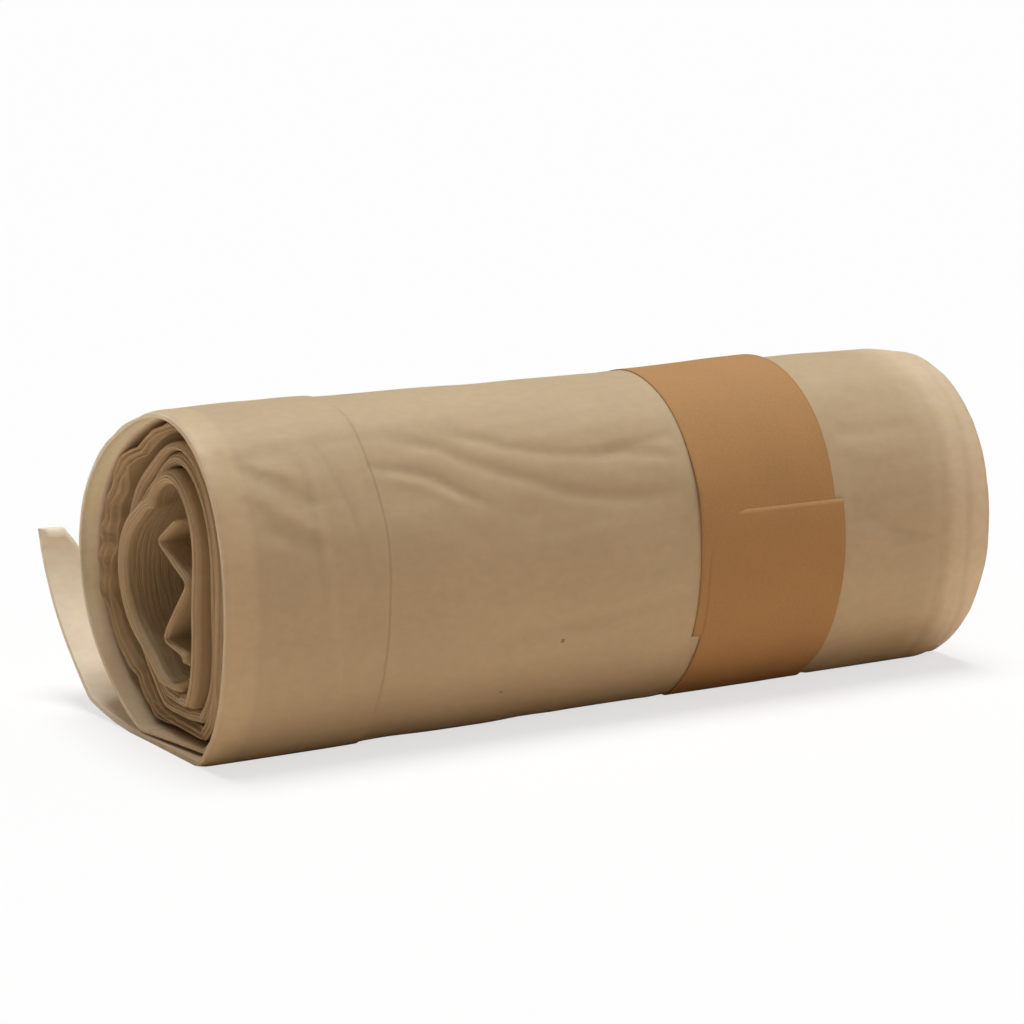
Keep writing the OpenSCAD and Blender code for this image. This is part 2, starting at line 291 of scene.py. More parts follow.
# %% The heat seam
SEAM_ANGLES = (60, 115, 135, 152, 162, 187, 202, 224, 250)
SEAM_PLACES = (30.2, 29.8, 29.9, 30.4, 30.6, 30.4, 30.1, 30.4, 31)
SEAM_REACH = 9.0


def seam_x(angle):
    """How far the seam is from the left end at this angle, in millimetres."""
    return np.interp(angle, SEAM_ANGLES, SEAM_PLACES)


def seam_line(x_from_left, angle):
    """Signed gap to the seam in millimetres, and how strong its fine line is there."""
    gap = x_from_left - seam_x(angle)
    near = np.abs(gap) < SEAM_REACH
    fade = rise(angle, 95, 140) * (1 - rise(angle, 200, 235)) * (1 - rise(np.abs(gap), 1.1, 1.5))
    return np.where(near, gap, SEAM_REACH), np.where(near, fade, 0)


print("the seam runs from", min(SEAM_PLACES), "to", max(SEAM_PLACES), "mm")

# %% [markdown]
# ## The gathered turn
# The turn under the outermost one was gathered where the bags are folded, so at the left end
# its film swings to and fro inside the turn's own thickness, which fades within a centimetre.
# Sculpting that by hand would also work; a rule keeps it inside its turn.

# %% The gathers
GATHER_DEPTH, GATHER_LEN, GATHER_PITCH, GATHER_WANDER = 1.5, 10, 32, 40


def gather_swing(w):
    """0 where the gathered film lies against its inside, 1 where it lies against its outside."""
    v = (w + GATHER_WANDER * np.sin(np.radians(3 * w))) / GATHER_PITCH
    return abs(v % 1 * 2 - 1)


def gather_reach(w, x):
    """How far the gathered film swings here, in millimetres."""
    near_end = 1 - rise(x, LEFT + LIP_OUT, LEFT + LIP_OUT + GATHER_LEN)
    begun = rise(w, SLACK_AT, SLACK_AT + 40)
    ended = rise(w, WRAP_AT - 90, WRAP_AT - 50)
    return GATHER_DEPTH * near_end * begun * (1 - ended)


print("the gathers are", GATHER_DEPTH, "mm deep at most and", GATHER_LEN, "mm long")


# %% [markdown]
# ## The web as a grid
# A grid is the natural start for a web: one way goes along the film, the other right round its
# thickness, from the outer face over the right edge and the inner face back to the left edge.
# Winding moves each of its points by the rules above. Rows and columns are placed closer where
# the camera comes near and where folds need them.

# %% Rows and columns of the web
RIGHT_COLUMNS, EDGE_COLUMNS = 8, 24
TUCK_ROWS = 60


def spread(count, stops, places):
    """Shares from 0 to 1, closer together where the places rise slowly."""
    return np.interp(np.linspace(0, 1, count + 1), stops, np.array(places) / ROLL_LEN)


# shares of the outer face's columns, and of the inner face's
CORE_COLUMNS = (spread(56, [0, 0.6, 0.85, 0.92, 1], [0, 14, 30, 148, 160]),
                spread(60, [0, 0.7, 0.9, 0.97, 1], [0, 20, 44, 150, 160]))
WRAP_COLUMNS = (spread(196, [0, 0.24, 0.71, 0.75, 1], [0, 31, 93, 125, 160]),
                spread(24, [0, 0.6, 1], [0, 20, 160]))
CORE_ROWS = np.concatenate([np.arange(0, 1050, 6.0), np.arange(1050, WRAP_AT, 2.2), [WRAP_AT]])
WRAP_ROWS = np.concatenate([
    np.arange(WRAP_AT, 1640, 3.0),
    np.arange(1640, 1780, 1.0),
    np.arange(1780, LEAVE_AT, 3.0),
    np.linspace(LEAVE_AT, CORNER_AT, 40),
])
print("rows", len(CORE_ROWS) + TUCK_ROWS, "and", len(WRAP_ROWS))


# %% The two long edges of the web
def inner_turns(w):
    """1 on the turns inside, 0 on the wrap."""
    return 1 - rise(w, WRAP_AT - 60, WRAP_AT + 20)


def on_wrap(w):
    """1 on the last full turn and the loose end, which are what shows from outside."""
    return rise(w, CORNER_AT - 380, CORNER_AT - 350)


def near_angle(angle, centre, width):
    """1 at one angle, fading to 0 on both sides of it."""
    gap = (angle - centre + 180) % 360 - 180
    return np.exp(-((gap / width) ** 2))


def left_x(w):
    """Where the web's left edge is: some turns stand back, and the wrap's lip stands out."""
    core = CORE_OUT * (1 - rise(w, 330, 420))
    wander = 0.3 * np.sin(np.radians(2 * w)) + 0.2 * ripple(w / 60, w * 0, 3, 21) - 0.5
    lip = 0.2 * ripple(w / 60, w * 0, 2.2, 22)
    middle = rise(w, 330, 420) * (1 - rise(w, 960, 1040))
    sunk = 3.4 * middle * near_angle(FIRST_ANGLE + w, 5, 62)
    sunk = sunk + 1.2 * middle * near_angle(FIRST_ANGLE + w, 215, 50)
    return LEFT + inner_turns(w) * (LIP_OUT - core + wander + sunk) + (1 - inner_turns(w)) * (0.3 + lip)


def right_x(w):
    """Where the web's right edge is."""
    wander = 0.4 * np.sin(np.radians(1.7 * w))
    lip = 0.25 * ripple(w / 60, w * 0, 2.2, 23)
    return RIGHT - inner_turns(w) * (RIGHT_IN + wander) - (1 - inner_turns(w)) * (0.3 + lip)


print("left edge of each turn", left_x(np.arange(180.0, LEAVE_AT, 360)).round(1))


# %% [markdown]
# ## Plies on the cut edge
# Seen from the end, a tight turn is a stack of thin plies. Their rounded edges lie a little
# before or behind each other, which draws the fine parallel lines there. So the ring's last
# columns cross the edge, six to a ply, and each ply gets a rounded front and its own reach. On
# the gathered turn the same columns make flat pleats that overlap and run aslant. Separate
# sheets for the plies would look alike and cost many times the faces.

# %% The plies
PLIES = 4
PLY_SLOT, PLY_DEEP, PLY_MEET = 0.010, 0.22, 0.06
# across one ply: share of its body, and how far its rounded front is set back
PLY_FRONT = ((0, 0.10), (0.2, 0.03), (0.5, 0), (0.8, 0.03), (1, 0.10))


def kinked(w, pitch, seed):
    """A value from -1 to 1 that changes in straight runs, as folded film does."""
    dice = np.random.RandomState(seed)
    knots = np.cumsum(dice.uniform(0.5, 1.5, 400)) * pitch - 200
    return np.interp(w, knots, dice.uniform(-1, 1, 400))


def gathered(w):
    """1 in the turn under the outermost one, which is gathered, and 0 in the others."""
    return rise(w, SLACK_AT - 60, SLACK_AT + 20) * (1 - rise(w, WRAP_AT - 90, WRAP_AT - 20))


def stacked_plies(w):
    """Places and set-backs across a tight turn's cut edge: four rounded plies."""
    tuck = 1 - rise(w, 0.5, 30)
    borders = [0 * w]
    for k in range(1, PLIES):
        borders.append(k / PLIES + 0.04 * kinked(w, 60, 60 + k))
    borders.append(0 * w + 1)
    places, backs = [], []
    for ply in range(PLIES):
        low, high = borders[ply], borders[ply + 1]
        body = high - low - 2 * PLY_SLOT
        reach = 0.12 * (1 + kinked(w, 45, 90 + ply))
        slot_shows = 1 if ply == PLIES // 2 else 1 - tuck
        places.append(low)
        backs.append(PLY_DEEP * slot_shows + PLY_MEET + reach)
        for share, back in PLY_FRONT:
            places.append(low + (PLY_SLOT + share * body))
            backs.append(back + reach)
    places.append(0 * w + 1)
    backs.append(0 * w)
    return np.concatenate(places, 1), np.concatenate(backs, 1)


print("columns across the edge", PLIES * (len(PLY_FRONT) + 1), "of", EDGE_COLUMNS)

# %% The slanting pleats, and the whole edge
PLEATS_ACROSS, PLEAT_PITCH, PLEAT_FLAT, PLEAT_BACK = 2.3, 62, 0.78, 0.22
WRINKLES_ACROSS, WRINKLE_PITCH, WRINKLE_DEEP = 4.6, 37, 0.4
PLEAT_DEEP, PLEAT_VARY, PLEAT_LEAN, PLEAT_SUNK = 1.4, 0.9, 1.3, 0.3
EDGE_BELLY, NOSE_SHARE = 1.0, 0.35


def slanting_pleats(w):
    """Places and set-backs across the gathered turn: flat pleats that overlap and run aslant."""
    share = np.linspace(0, 1, EDGE_COLUMNS + 1)[None, :] + 0 * w
    part = (PLEATS_ACROSS * share + w / PLEAT_PITCH + 0.30 * kinked(w, 20, 79)) % 1
    face = np.where(part < PLEAT_FLAT, part / PLEAT_FLAT, (1 - part) / PLEAT_BACK)
    fine = abs((WRINKLES_ACROSS * share - w / WRINKLE_PITCH + 0.4 * kinked(w, 16, 83)) % 1 * 2 - 1)
    depth = PLEAT_DEEP + PLEAT_VARY * kinked(w + 40 * share, 30, 81)
    lean = PLEAT_LEAN * (1 - share) * (0.6 + 0.5 * kinked(w, 50, 82))
    return share, depth * face + WRINKLE_DEEP * fine + lean + PLEAT_SUNK


def nose_of(w):
    """How far the two edges of the film are rounded off."""
    return NOSE_SHARE * film_t(w)


def cut_edge(w):
    """For the columns of the cut edge: share across the thickness and how far it is set back.

    The first and last columns, where the two faces end, stay behind all the others. If a face
    ran on past them, a fin without thickness would hide the plies."""
    loose, inner = gathered(w), inner_turns(w)
    tight_share, tight_back = stacked_plies(w)
    loose_share, loose_back = slanting_pleats(w)
    share = tight_share + loose * (loose_share - tight_share)
    back = inner * (tight_back + loose * (loose_back - tight_back))
    back = back + EDGE_BELLY * np.abs(2 * share - 1) ** 2.2 * inner * (1 - 0.6 * loose)
    back[:, :1] = np.maximum(nose_of(w), back[:, 1:2] + PLY_MEET)
    back[:, -1:] = np.maximum(nose_of(w), back[:, -2:-1] + PLY_MEET)
    return share, back


pleat_backs = slanting_pleats(np.arange(SLACK_AT, WRAP_AT)[:, None])[1]
print("deepest pleat", round(float(pleat_backs.max()), 1), "mm")


# %% Winding one row
def ring_at(w, columns):
    """X and side (0 inner face, 1 outer face) of all ring points at these windings."""
    w = np.asarray(w, float)[:, None]
    start, end, nose = left_x(w), right_x(w), nose_of(w)
    up, back = cut_edge(w)
    outer = start + back[:, -1:] + (end - start - nose - back[:, -1:]) * columns[0]
    inner = (start + back[:, :1] + (end - start - nose - back[:, :1]) * columns[1])[:, ::-1]
    bulge = np.linspace(0, 1, RIGHT_COLUMNS + 1)[None, :]
    right = end - nose + nose * np.sqrt(np.clip(1 - (2 * bulge - 1) ** 2, 0, 1))
    groove = np.abs(np.sin(PLIES * math.pi * bulge)) - 1
    right = right + 0.3 * inner_turns(w) * groove * np.clip(8 * np.minimum(bulge, 1 - bulge), 0, 1)
    one = np.ones_like(w)
    xs = [outer[:, :-1], right[:, :-1], inner[:, :-1], start + back]
    sides = [one + 0 * outer[:, :-1], one * (1 - bulge[:, :-1]), 0 * inner[:, :-1], up]
    return np.concatenate(xs, 1), np.concatenate(sides, 1)


print("points in one ring", ring_at([0.0], CORE_COLUMNS)[0].shape[1])

# %% Small hand-made unevenness
LIP_T, LIP_FROM, LIP_TO = 0.45, 1.5, 6.0
LIP_IN, LIP_TURN = 0.5, 3.5


def unevenness(w, x, side, q):
    """What is added to a point's distance from the middle, in millimetres."""
    angle = FIRST_ANGLE + w
    a = np.radians(angle)
    from_edge = x - LEFT - LIP_OUT
    near_edge = 1 - rise(from_edge, 3, 16)
    inner = inner_turns(w)
    wobble = 0.30 * ripple(18 * np.cos(a), 18 * np.sin(a) + 0.7 * q, 13, 51)
    kinks = 0.35 * kinked(angle % 360 + 0.3 * q, 34, 54)
    wobble = (wobble + kinks) * inner * (1 - rise(from_edge, 6, 30)) * rise(q, 0, 3)
    gathers = gathered(w) * near_edge * (0.6 * kinked(w, 30, 58) - 0.2)
    first = 1 - rise(w, 330, 400)
    bottom = near_angle(angle, 268, 20) * first * (1 - rise(x - left_x(w), 1.6, 3.4))
    crumple = -(1 - side) * bottom * (1.2 + 0.6 * kinked(angle + 5 * x, 9, 55))
    chord = -0.9 * near_angle(angle, 40, 24) * first * (1 - side) * near_edge
    fold = chord - 1.5 * (1 - side) * near_angle(angle, 70, 6) * first * (1 - rise(from_edge, 0, 6))
    curl = -LIP_IN * (1 - inner) * np.clip(1 - (x - LEFT) / LIP_TURN, 0, 1) ** 2
    lip = 1 - rise(x - LEFT, LIP_FROM, LIP_TO)
    thin = (film_t(w) - LIP_T) * lip * (1 - inner) * (1 - side)
    thin = thin * (1 - rise(w, LEAVE_AT - 60, LEAVE_AT))
    filled = 0.9 * lip * gathered(w) * (0.4 + 0.6 * side)
    corners = 0.25 * (1 - inner) * (1 - rise(x - LEFT, 3, 15)) * kinked(angle, 22, 59) * (w < LEAVE_AT)
    return wobble + gathers + crumple + fold + curl + thin + filled + corners


# %% Winding the spiral
def wound_rows(w, columns):
    """Points of the web at these windings, in millimetres, one row of ring points each."""
    x, side = ring_at(w, columns)
    w = np.asarray(w, float)[:, None] + 0 * x
    w = winding_at(w, x)
    angle = FIRST_ANGLE + w
    swing, reach = gather_swing(w), gather_reach(w, x)
    low_q = inner_q(w) + reach * swing
    high_q = inner_q(w) + film_t(w) - reach * (1 - swing)
    left_of_seam = 1 - rise(x - LEFT - seam_x(angle % 360), -0.5, 0.3)
    q = (low_q + (high_q - low_q) * side) * girth(x) + SEAM_STEP * on_wrap(w) * left_of_seam * side
    under_strip = rise(x, BAND_LEFT - 3, BAND_LEFT) * (1 - rise(x, BAND_RIGHT, BAND_RIGHT + 3))
    q = q + on_wrap(w) * side * creases(x - LEFT, angle % 360)[0] * (1 - under_strip)
    q = q + unevenness(w, x, side, q)
    q = q + flare(w, x)
    bottom = 360 * np.round((FIRST_ANGLE + w - 270) / 360) + 270 - FIRST_ANGLE
    q_bottom = inner_q(bottom) + film_t(bottom) * side
    pressed = np.where(w > CORNER_AT - 360, side * under_strip * (BAND_T + BAND_FIT), 0)
    y, z = section(q, angle, x, floor_of(q_bottom) + pressed)
    return np.stack([x, y, z], -1)


print("first row starts at", wound_rows([0.0], CORE_COLUMNS)[0, 0].round(2))

# %% [markdown]
# ## The tucked inner end
# Before the winding began, the end of the web was folded to and fro inside the empty middle.
# Its path is a line through the folds, rounded by a running average, and the same ring as on
# the turns is carried along it, so the tucked end and the spiral are one skin.

# %% Winding the tucked end
TUCK_FOLDS = [(-0.33, 0.40), (0.00, 0.25), (-0.46, 0.07), (-0.06, -0.28), (-0.42, -0.32)]
TUCK_SOFT = 1.9


def tuck_rows():
    """Points of the tucked end, row by row, up to the start of the spiral."""
    root = np.array(section(film_t(0) / 2, FIRST_ANGLE, LEFT, 0))
    later = [np.array(section(inner_q(w) + film_t(w) / 2, FIRST_ANGLE + w, LEFT, 0)) for w in (8, 16)]
    folds = [np.array([a * HOLLOW_W, REST_H + b * HOLLOW_H]) for a, b in TUCK_FOLDS]
    stops = np.array(folds + [root] + later)
    run = np.concatenate([[0], np.cumsum(np.hypot(*np.diff(stops, axis=0).T))])
    fine = np.linspace(0, run[-1], 600)
    line = np.stack([np.interp(fine, run, stops[:, k]) for k in (0, 1)], -1)
    bell = np.exp(-((np.arange(-40, 41) * (fine[1] - fine[0]) / TUCK_SOFT) ** 2))
    bell /= bell.sum()
    padded = np.concatenate([np.repeat(line[:1], 40, 0), line, np.repeat(line[-1:], 40, 0)])
    soft = np.stack([np.convolve(padded[:, k], bell, "valid") for k in (0, 1)], -1)
    place = np.linspace(0, run[len(TUCK_FOLDS)] - 1.2, TUCK_ROWS)
    point = np.stack([np.interp(place, fine, soft[:, k]) for k in (0, 1)], -1)
    way = np.gradient(point, axis=0)
    way /= np.hypot(*way.T)[:, None]
    x, side = ring_at(np.zeros(TUCK_ROWS), CORE_COLUMNS)
    sunk = 0.3 * kinked(place * 20, 60, 57) + 3.8 * rise(place, run[4] + 1, run[4] + 4)
    x = x + (sunk * (1 - rise(place, run[5] - 3, run[5] - 1.2)))[:, None] * (x < LEFT + 30)
    root_swell = 0.75 + 0.25 * rise(place, place[-1] - 8, place[-1])
    half = TUCK_T / 2 * root_swell * (0.15 + 0.85 * rise(place, 0, 1.2))
    off = (2 * side - 1) * half[:, None]
    y = point[:, :1] + way[:, 1:] * off
    z = point[:, 1:] - way[:, :1] * off
    return np.stack([x, y, z], -1)


tuck_points = tuck_rows()
print("the tuck's rows and ring", tuck_points.shape[:2])


# %% Making a piece from a grid
def grid_piece(name, columns, count):
    """A flat grid as a new mesh, with each point's column and row returned beside it."""
    bm = bmesh.new()
    bm.loops.layers.uv.new("web")
    bmesh.ops.create_grid(bm, x_segments=columns, y_segments=count, size=1, calc_uvs=True)
    mesh = bpy.data.meshes.new(name)
    bm.to_mesh(mesh)
    bm.free()
    flat = np.zeros(len(mesh.vertices) * 3, np.float32)
    mesh.vertices.foreach_get("co", flat)
    flat = flat.reshape(-1, 3)
    column = np.rint((flat[:, 0] + 1) / 2 * columns).astype(int)
    row = np.rint((flat[:, 1] + 1) / 2 * count).astype(int)
    return mesh, column, row


def keep_value(mesh, name, values):
    """One number at each point of a mesh, for its finish to read."""
    mesh.attributes.new(name, "FLOAT", "POINT").data.foreach_set("value", np.asarray(values, np.float32))


def close_piece(mesh):
    """Joins the seam where the grid meets itself, closes both ends and turns the faces outwards."""
    bm = bmesh.new()
    bm.from_mesh(mesh)
    bmesh.ops.remove_doubles(bm, verts=bm.verts, dist=1e-6)
    ends = bmesh.ops.holes_fill(bm, edges=[e for e in bm.edges if e.is_boundary], sides=0)["faces"]
    bmesh.ops.triangulate(bm, faces=ends)
    bmesh.ops.recalc_face_normals(bm, faces=bm.faces)
    for face in bm.faces:
        face.smooth = True
    open_edges = sum(1 for e in bm.edges if not e.is_manifold)
    bm.to_mesh(mesh)
    bm.free()
    print(mesh.name, "faces", len(mesh.polygons), "open edges", open_edges)


def place_piece(mesh, node):
    """The mesh as an object of the scene, in place of one of the CAD's nodes."""
    obj = bpy.data.objects.new(mesh.name, mesh)
    bpy.context.scene.collection.objects.link(obj)
    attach(obj, "root")
    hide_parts(node)
    return obj


# %% What the film's finish needs to know
# shares of a painted glow, which stands in for light through the film, and painted highlights, painted
# shade, a darker loose end and a darker corner
RIM_GLOW_SHARE, RIGHT_GLOW_SHARE, TUCK_SHADE = 0.10, 0.22, 0.6
RIM_PAINTED_HIGHLIGHT, LIP_PAINTED_LIGHT, RIGHT_PAINTED_GLOW, TONE_TAIL, ROOT_PAINTED_SHADE, TONE_TIP = 0.10, 0.10, 0.16, 0.14, 0.16, 0.5


def keep_film_values(mesh, w, x, outer_face, inner_face):
    """Keeps at each point its share of painted glow, its share of painted shade inside the roll, its
    painted highlights and shade, and its seam line.
    """
    angle = (FIRST_ANGLE + w) % 360
    outermost = 1 - inner_turns(w)
    before_tail = w < LEAVE_AT - 30
    # painted glow on the lip: its rim on the outer face and its inner face turn paler, as if lit through
    # the film
    lip_painted_glow = outermost * np.where(outer_face, RIM_GLOW_SHARE * (1 - rise(x, 0.4, 2.0)), 1 - rise(x, 3.0, 5.0))
    lip_painted_glow = lip_painted_glow * (0.25 + 0.75 * rise(np.sin(np.radians(angle)), -0.75, -0.2))
    lip_painted_glow = lip_painted_glow * (1 - 0.7 * rise(-np.cos(np.radians(angle)), 0.1, 0.5))
    root = outermost * inner_face * rise(x, 4.2, 5.2) * (1 - rise(x, 6.5, 8))
    # the loose end also gets the painted glow
    on_tail = rise(w, LEAVE_AT - 30, LEAVE_AT + 10) * (1 - rise(x, 20, 50))
    # the right rim gets a weaker share of the painted glow
    on_right = outermost * rise(x, 142, 157)
    # painted shade on the lip's inner face, deeper than a few millimetres
    painted_shade_behind_lip = np.where(outer_face, 0, rise(x, 3.0, 4.8)) * (1 - on_tail)
    # painted shade and painted highlights along the creases
    painted_light_and_tone = creases(x, angle)[1] * outer_face * on_wrap(w)
    # painted highlight on the outer face along the left end
    painted_light_and_tone = painted_light_and_tone + RIM_PAINTED_HIGHLIGHT * outer_face * outermost * (1 - rise(x, 5.4, 6.6)) * rise(x, 0.2, 1.4)
    # the loose end is darker near its foot, fading towards its corner
    painted_light_and_tone = painted_light_and_tone - TONE_TAIL * on_tail * (1 - rise(w, LEAVE_AT + 25, CORNER_AT))
    # painted glow at the right rim and on the lip's inner face
    painted_light_and_tone = painted_light_and_tone + RIGHT_PAINTED_GLOW * on_right + LIP_PAINTED_LIGHT * lip_painted_glow * inner_face * before_tail
    # painted shade in the corner at the root of the lip, where it meets the turns inside
    painted_light_and_tone = painted_light_and_tone - ROOT_PAINTED_SHADE * root * before_tail
    # darker at the very corner of the loose end
    painted_light_and_tone = painted_light_and_tone - TONE_TIP * (w > CORNER_AT - 1.2) * (1 - rise(x, 0.3, 1.1))
    gap, depth = seam_line(x, angle)
    # thin holds the share of painted glow at the lip, the loose end and the right rim
    keep_value(mesh, "thin", np.maximum(np.maximum(lip_painted_glow, on_tail), RIGHT_GLOW_SHARE * on_right))
    # inside holds the share of painted shade
    keep_value(mesh, "inside", np.maximum(inner_turns(w), painted_shade_behind_lip))
    # this value multiplies the colour: painted shade and highlights, and the darker loose end and corner
    keep_value(mesh, "painted_light_and_tone", 1 + painted_light_and_tone)
    keep_value(mesh, "hollow", np.where(w < 0, TUCK_SHADE, inner_face * (1 - rise(w, 330, 380))))
    keep_value(mesh, "line_gap", gap)
    keep_value(mesh, "line_depth", depth * outer_face * on_wrap(w))
    print(mesh.name, "keeps", [value.name for value in mesh.attributes if value.data_type == "FLOAT"])


# %% The film web in two pieces
def film_piece(name, points, winding, columns):
    """A piece of the web, with what its finish needs kept at each point."""
    ring = points.shape[1] - 1
    mesh, column, row = grid_piece(name, ring, len(points) - 1)
    here = points[row, column]
    mesh.vertices.foreach_set("co", (here * MM).astype(np.float32).ravel())
    outer_columns = len(columns[0]) - 1
    outer_face = (column < outer_columns) | (column == ring)
    inner_face = (column >= outer_columns + RIGHT_COLUMNS) & (column < ring - EDGE_COLUMNS)
    keep_film_values(mesh, winding[row], here[:, 0] - LEFT, outer_face, inner_face)
    close_piece(mesh)
    return place_piece(mesh, "film_roll")


core_points = np.concatenate([tuck_points, wound_rows(CORE_ROWS, CORE_COLUMNS)])
core_winding = np.concatenate([np.linspace(-120, 0, TUCK_ROWS), CORE_ROWS])
film_core = film_piece("film_turns", core_points, core_winding, CORE_COLUMNS)
wrap_points = wound_rows(WRAP_ROWS, WRAP_COLUMNS)
film_wrap = film_piece("film_wrap", wrap_points, WRAP_ROWS, WRAP_COLUMNS)

# %% [markdown]
# ## The paper strip
# One strip of kraft paper goes once round the roll. It was pulled on by hand, so its ends lap
# on the front, a little askew, and its right edge stands off the film on top. It is made as
# the web was, from a grid that is wound round, because a thin strip needs its real thickness.

# %% The strip's sizes
BAND_AT, BAND_OVERLAP, BAND_LIFT, LAP_GAP = 27.5, 42, 0.7, 0.01
PAPER_T, PAPER_TAPER, TIP_LEN = 0.13, 0.85, 6
BAND_OUTER_ANGLE = 165
BAND_INNER_ANGLE = BAND_OUTER_ANGLE + BAND_OVERLAP
BAND_TRAVEL = 360 + BAND_OVERLAP
BAND_ROWS, BAND_FACE, BAND_EDGE = 250, 44, 3
STRIP_RING = 2 * BAND_FACE + 2 * BAND_EDGE
# the left edge: drawn in, more so in a bow at one angle, and gaping at another
EDGE_IN, BOW_IN, BOW_ANGLE, BOW_SPREAD = 0.4, 1.9, 78, 22
GAPE, GAPE_ANGLE, GAPE_SPREAD, SNUG_SHARE = 0.40, 158, 13, 0.6
print("the strip goes round", BAND_TRAVEL, "degrees in", BAND_ROWS, "rows of", STRIP_RING, "points")


# %% Winding the strip
def film_outside(angle):
    """Distance of the film's outermost face, with the step of the loose end bridged."""
    past = (angle - FIRST_ANGLE - EDGE_AT) % 360
    start = EDGE_AT - 360
    step = (inner_q(EDGE_AT) + film_t(EDGE_AT)) - (inner_q(start) + film_t(start))
    w = start + past
    return inner_q(w) + film_t(w) + step * (1 - rise(past, 0, 30))


def strip_rows():
    """Points of the strip, row by row from its inner end."""
    travel = np.linspace(0, BAND_TRAVEL, BAND_ROWS + 1)[:, None]
    angle = BAND_INNER_ANGLE - travel
    over = np.linspace(0, 1, BAND_FACE + 1)
    up = np.linspace(0, 1, BAND_EDGE + 1)
    place = [over[:-1], np.ones(BAND_EDGE), over[::-1][:-1], np.zeros(BAND_EDGE + 1)]
    side = [np.ones(BAND_FACE), 1 - up[:-1], np.zeros(BAND_FACE), up]
    place, side = np.concatenate(place)[None, :], np.concatenate(side)[None, :]
    lap = (PAPER_T + LAP_GAP) * rise(travel, 335, 358)
    tip = rise(travel, BAND_TRAVEL - TIP_LEN, BAND_TRAVEL)
    lap_edge = rise(travel, 350, 362) * (1 - rise(place, 0, 0.06))
    paper = PAPER_T * (1 - PAPER_TAPER * np.maximum(tip, lap_edge))
    x0 = BAND_AT - BAND_W / 2 + BAND_SKEW * travel / BAND_TRAVEL
    x = x0 + BAND_W * place
    arc = travel * math.pi / 180 * ROUND_MM
    waver = 0.12 * ripple(arc, 0 * arc, 14, 41)
    drawn_in = EDGE_IN + BOW_IN * near_angle(angle, BOW_ANGLE, BOW_SPREAD)
    x = x + waver * (1 - 2 * place) * 0.5 + drawn_in * (1 - place)
    lift = BAND_LIFT * np.maximum(np.sin(np.radians(angle)), 0) ** 2 * place ** 1.5
    gape = GAPE * np.exp(-(((angle - GAPE_ANGLE) / GAPE_SPREAD) ** 2)) * (1 - place) ** 6
    round_y, round_z = 20 * np.cos(np.radians(angle)), 20 * np.sin(np.radians(angle))
    drape = 0.05 * ripple(x + round_y, round_z, 12, 42) * (1 - (1 - place) ** 3)
    snug = BAND_FIT * (1 - SNUG_SHARE * (1 - place) ** 3)
    q = (film_outside(angle) + snug + lap) * girth(x) + lift + gape + drape + paper * side
    y, z = section(q, angle, x, PAPER_T * (1 - side))
    return np.stack([x + 0 * y, y, z], -1)


strip_points = strip_rows()
strip_mesh, strip_column, strip_row = grid_piece("kraft_band", STRIP_RING, BAND_ROWS)
strip_here = (strip_points[strip_row, strip_column] * MM).astype(np.float32)
strip_mesh.vertices.foreach_set("co", strip_here.ravel())
close_piece(strip_mesh)
kraft_band = place_piece(strip_mesh, "paper_band")

# %% [markdown]
# ## Finishes
# Bin bag film is waxy and slightly cloudy. It shines softly, its colour drifts a little, and it
# carries fine lines from the slot it was blown through. Kraft paper is matt, with short fibres
# and flecks. Both come from noise on Object coordinates, so nothing slides when the camera
# moves, and a drift in colour that both use is built once as a node group.


# %% A drift in colour
def drift_group():
    """Node group: cloudy light and dark patches over a base colour."""
    group = bpy.data.node_groups.new("cloudy_drift", "ShaderNodeTree")
    for name, way, kind in (("Colour", "INPUT", "Color"), ("Patch Scale", "INPUT", "Float"),
                            ("Strength", "INPUT", "Float"), ("Colour", "OUTPUT", "Color"),
                            ("Patches", "OUTPUT", "Float")):
        group.interface.new_socket(name=name, in_out=way, socket_type="NodeSocket" + kind)
    add, link = group.nodes.new, group.links.new
    given, made = add("NodeGroupInput"), add("NodeGroupOutput")
    where = add("ShaderNodeTexCoord")
    cloud = add("ShaderNodeTexNoise")
    cloud.inputs["Detail"].default_value = 4
    link(where.outputs["Object"], cloud.inputs["Vector"])
    link(given.outputs["Patch Scale"], cloud.inputs["Scale"])
    centre = add("ShaderNodeMath")
    centre.operation = "SUBTRACT"
    centre.inputs[1].default_value = 0.5
    link(cloud.outputs["Fac"], centre.inputs[0])
    gain = add("ShaderNodeMath")
    gain.operation = "MULTIPLY_ADD"
    gain.inputs[2].default_value = 1
    link(centre.outputs[0], gain.inputs[0])
    link(given.outputs["Strength"], gain.inputs[1])
    tint = add("ShaderNodeVectorMath")
    tint.operation = "SCALE"
    link(given.outputs["Colour"], tint.inputs[0])
    link(gain.outputs[0], tint.inputs["Scale"])
    link(tint.outputs["Vector"], made.inputs["Colour"])
    link(cloud.outputs["Fac"], made.inputs["Patches"])
    return group


DRIFT = drift_group()
print(DRIFT.name, "has", len(DRIFT.nodes), "nodes")


# %% Small helpers for materials
def new_finish(name):
    """A material with its shader, and its node tree's two ways to add and link."""
    finish = bpy.data.materials.new(name)
    finish.use_nodes = True
    tree = finish.node_tree
    return finish, tree.nodes["Principled BSDF"], tree.nodes.new, tree.links.new


def drift(add, link, colour, scale, strength):
    """The drift group placed in a material, its two outputs returned."""
    node = add("ShaderNodeGroup")
    node.node_tree = DRIFT
    node.inputs["Colour"].default_value = (*colour, 1)
    node.inputs["Patch Scale"].default_value = scale
    node.inputs["Strength"].default_value = strength
    return node.outputs["Colour"], node.outputs["Patches"]


